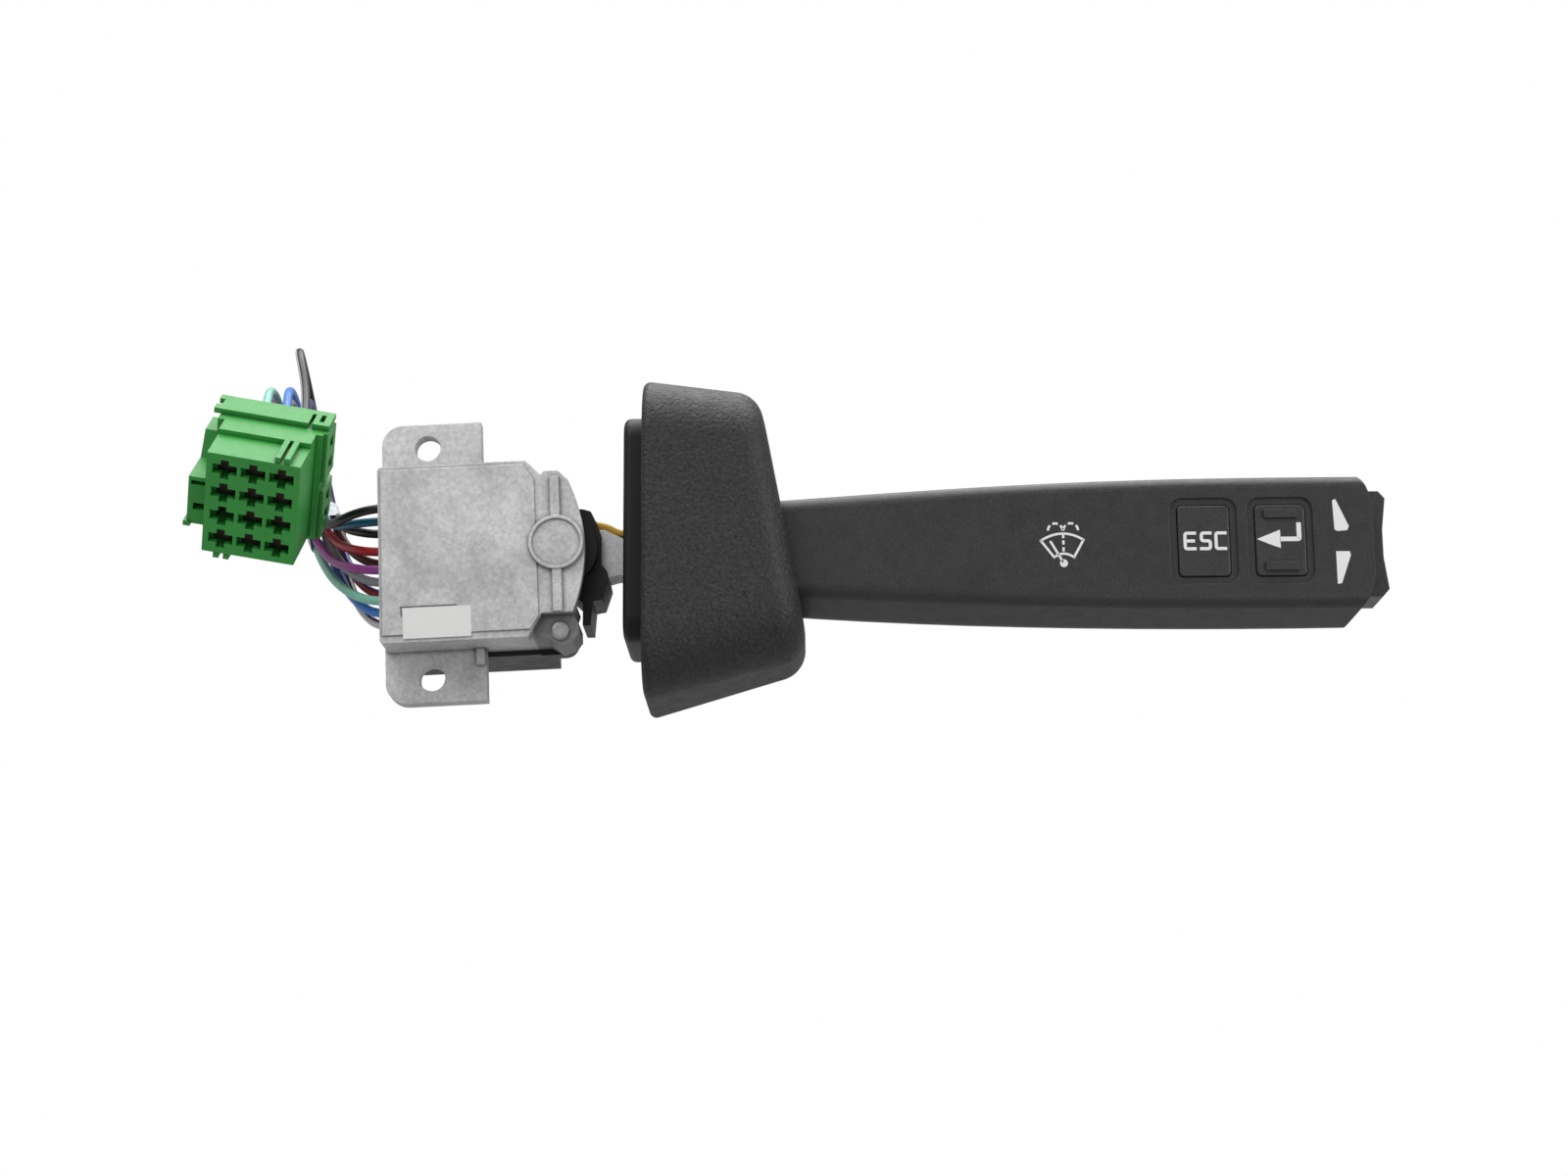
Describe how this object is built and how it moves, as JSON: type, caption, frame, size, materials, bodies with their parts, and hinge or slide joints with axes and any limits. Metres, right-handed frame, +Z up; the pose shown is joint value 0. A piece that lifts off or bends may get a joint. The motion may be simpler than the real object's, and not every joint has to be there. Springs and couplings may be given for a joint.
{
  "type": "combination stalk switch",
  "caption": "Steering-column wiper stalk with a cast switch housing, a hooded lever, two push keys, a tip rocker and a green cavity connector on a short loom.",
  "frame": {"origin": "midway between the two ear holes, on the back face of the ears", "axes": "+X towards the lever's tip, +Y away from the driver into the column bracket, +Z up along the line of the two holes"},
  "size_m": [0.2588, 0.0695, 0.0934],
  "materials": {
    "cast_alloy": "satin, faintly mottled as cast",
    "black_plastic": "moulded, low sheen",
    "handle_plastic": "smooth satin",
    "cowl_plastic": "fine grain",
    "white_plastic": "moulded, slippery",
    "green_plastic": "moulded, slight sheen",
    "board": "lacquered laminate",
    "bright_steel": "bright",
    "dome_rubber": "silicone",
    "mark_paint": "printed marks",
    "label_film": "blank label",
    "tie_film": "thin clear tie round the wires",
    "wire_yellow": "insulation",
    "wire_mint": "insulation",
    "wire_blue": "insulation",
    "wire_black": "insulation",
    "wire_purple": "insulation",
    "wire_grey": "insulation",
    "wire_navy": "insulation with a stripe",
    "wire_red": "insulation",
    "wire_brown": "insulation",
    "wire_teal": "insulation"
  },
  "bodies": {
    "housing": {"housing": "cast_alloy", "base_block": "black_plastic", "contact_board": "board", "eye_rivet": "bright_steel", "cover_screw_1": "bright_steel", "cover_screw_2": "bright_steel", "detent_cam": "white_plastic", "connector_block": "green_plastic", "connector_frame": "green_plastic", "connector_latch": "green_plastic", "terminal_mint": "bright_steel", "terminal_blue": "bright_steel", "terminal_black_tall": "bright_steel", "terminal_purple": "bright_steel", "terminal_grey": "bright_steel", "terminal_navy": "bright_steel", "terminal_red": "bright_steel", "terminal_brown": "bright_steel", "terminal_black_low": "bright_steel", "terminal_teal": "bright_steel", "terminal_black_mid": "bright_steel", "wire_mint": "wire_mint", "wire_blue": "wire_blue", "wire_black_tall": "wire_black", "wire_purple": "wire_purple", "wire_grey": "wire_grey", "wire_navy": "wire_navy", "wire_red": "wire_red", "wire_brown": "wire_brown", "wire_black_low": "wire_black", "wire_teal": "wire_teal", "wire_black_mid": "wire_black"},
    "carrier": {"carrier": "black_plastic", "cross_pin": "bright_steel", "detent_plunger": "white_plastic", "detent_spring": "bright_steel", "contact_slider": "white_plastic"},
    "lever": {"lever_arm": "cast_alloy", "handle_front": "handle_plastic", "handle_back": "handle_plastic", "handle_screw_1": "bright_steel", "handle_screw_2": "bright_steel", "cowl": "cowl_plastic", "cowl_back_plate": "black_plastic", "key_board": "board", "esc_dome": "dome_rubber", "enter_dome": "dome_rubber", "rocker_pin": "bright_steel", "wire_clip": "black_plastic", "lever_wire_1": "wire_yellow", "lever_wire_2": "wire_yellow"},
    "esc_key": {"esc_button": "handle_plastic"},
    "enter_key": {"enter_button": "handle_plastic"},
    "rocker": {"tip_rocker": "handle_plastic"}
  },
  "joints": [
    {"name": "wiper_lever", "type": "hinge", "parent": "housing", "child": "carrier", "pos_m": [0.02815, 0, 0.0005], "axis": [0, -1, 0], "range_deg": [0, 21]},
    {"name": "washer_pull", "type": "hinge", "parent": "carrier", "child": "lever", "pos_m": [0.02815, 0, 0.0005], "axis": [-0.0401, 0, -0.9992], "range_deg": [0, 7], "stiffness_Nm_per_rad": 6, "springref_deg": -5.73},
    {"name": "esc_press", "type": "slide", "parent": "lever", "child": "esc_key", "axis": [0, 1, 0], "range_m": [0, 0.0008], "stiffness_N_per_m": 1500},
    {"name": "enter_press", "type": "slide", "parent": "lever", "child": "enter_key", "axis": [0, 1, 0], "range_m": [0, 0.0008], "stiffness_N_per_m": 1500},
    {"name": "tip_rock", "type": "hinge", "parent": "lever", "child": "rocker", "pos_m": [0.19761, 0, -0.00631], "axis": [0, 1, 0], "range_deg": [-3, 3], "stiffness_Nm_per_rad": 1}
  ]
}
